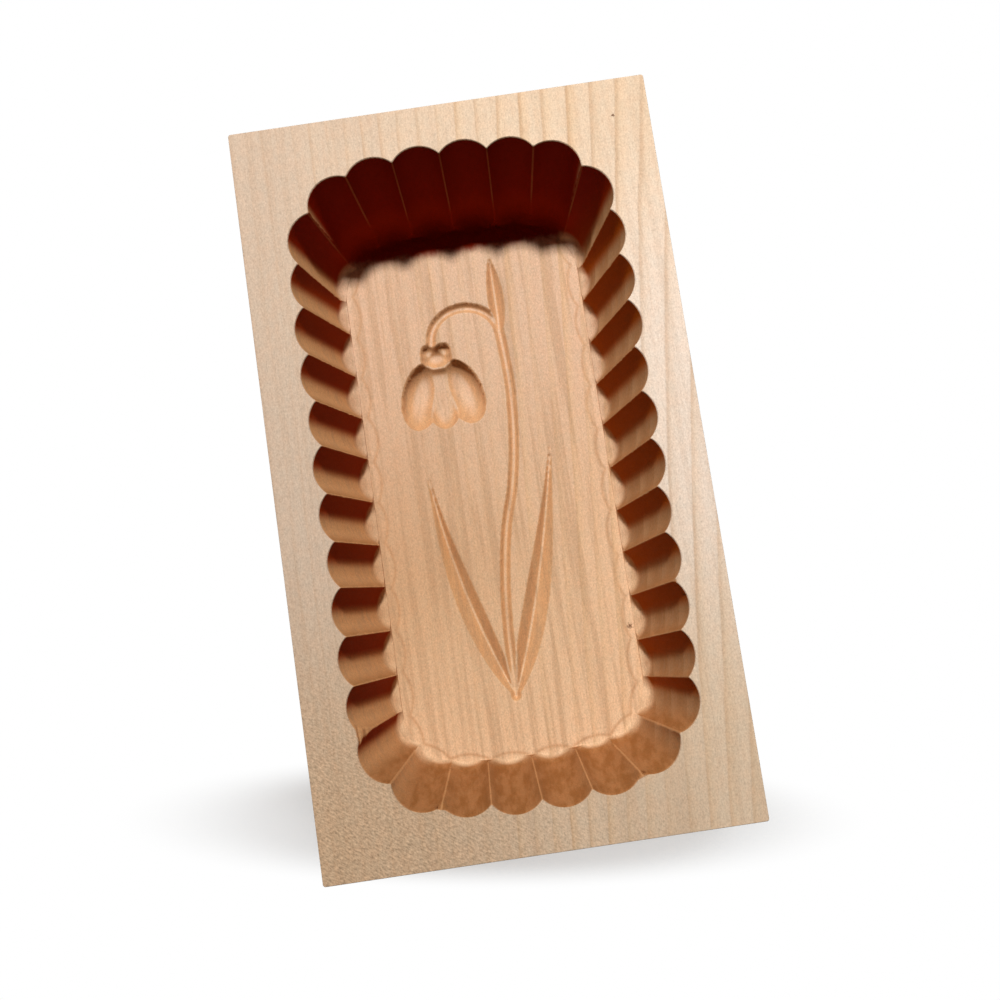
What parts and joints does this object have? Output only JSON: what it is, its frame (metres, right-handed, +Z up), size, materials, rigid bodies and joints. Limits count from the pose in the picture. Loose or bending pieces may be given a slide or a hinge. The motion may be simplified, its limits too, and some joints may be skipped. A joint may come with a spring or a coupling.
{
  "type": "butter mould",
  "caption": "Wooden butter mould: a long block with a deep fluted hollow, round at its corners, and a snowdrop sunk into its flat floor, which prints the turned-out butter.",
  "frame": {"origin": "middle of the flat underside", "axes": "+X across the width, +Y along the length and the grain, from the foot of the carved plant towards its flower, +Z up out of the hollow"},
  "size_m": [0.092, 0.162, 0.042],
  "materials": {
    "maple": "smooth bare maple, cut across the grain on the walls of the hollow"
  },
  "bodies": {
    "root": {"mould_block": "maple"}
  },
  "joints": []
}
